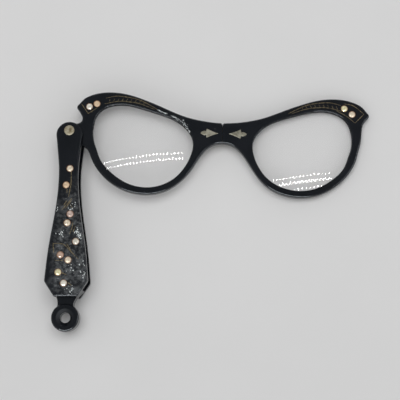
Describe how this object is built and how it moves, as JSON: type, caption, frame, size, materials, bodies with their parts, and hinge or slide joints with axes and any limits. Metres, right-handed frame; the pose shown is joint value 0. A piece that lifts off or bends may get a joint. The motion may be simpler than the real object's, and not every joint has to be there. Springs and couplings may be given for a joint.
{
  "type": "folding lorgnette",
  "caption": "Folding lorgnette, spectacle-type opera glasses: cat-eye rims hinged at the bridge, swinging into a slotted, stone-set side handle with a hanging loop.",
  "frame": {"origin": "the pivot rivet's axis where it meets the handle's outer back face", "axes": "+X along the open front from the pivot to the far rim, +Y towards the brow, +Z out of the front face"},
  "size_m": [0.1253, 0.0962, 0.0115],
  "materials": {
    "black_acetate": "polished, with fine handling scratches",
    "clear_glass": "polished, uncoated",
    "rhinestone": "faceted and foil-backed",
    "silver_plate": "worn silver plate",
    "rivet_brass": "tarnished",
    "hinge_brass": "plain, slightly dull",
    "spring_steel": "drawn wire"
  },
  "bodies": {
    "handle": {"front_scale": "black_acetate", "back_scale": "black_acetate", "tail_loop": "black_acetate", "pivot_rivet": "rivet_brass", "pivot_burr": "rivet_brass", "pivot_bush": "rivet_brass", "pivot_washer": "spring_steel", "handle_stone_1": "rhinestone", "handle_stone_2": "rhinestone", "handle_stone_3": "rhinestone", "handle_stone_4": "rhinestone", "handle_stone_5": "rhinestone", "handle_stone_6": "rhinestone", "handle_stone_7": "rhinestone", "handle_stone_8": "rhinestone", "handle_stone_9": "rhinestone"},
    "left_frame": {"left_rim": "black_acetate", "left_lens": "clear_glass", "left_shield": "silver_plate", "left_leaf": "hinge_brass", "hinge_pin": "spring_steel", "bridge_spring": "spring_steel", "left_rim_stone_1": "rhinestone", "left_rim_stone_2": "rhinestone"},
    "right_frame": {"right_rim": "black_acetate", "right_lens": "clear_glass", "right_shield": "silver_plate", "right_leaf": "hinge_brass", "right_rim_stone_1": "rhinestone", "right_rim_stone_2": "rhinestone"}
  },
  "joints": [
    {"name": "frame_pivot", "type": "hinge", "parent": "handle", "child": "left_frame", "pos_m": [0, 0, 0.00715], "axis": [0, 0, 1], "range_deg": [-70, 60]},
    {"name": "bridge_hinge", "type": "hinge", "parent": "left_frame", "child": "right_frame", "pos_m": [0.0607, 0.00194, 0.0055], "axis": [0, 1, 0], "range_deg": [0, 180], "stiffness_Nm_per_rad": 0.003, "springref_deg": -85.94, "deforming": ["bridge_spring"]}
  ]
}
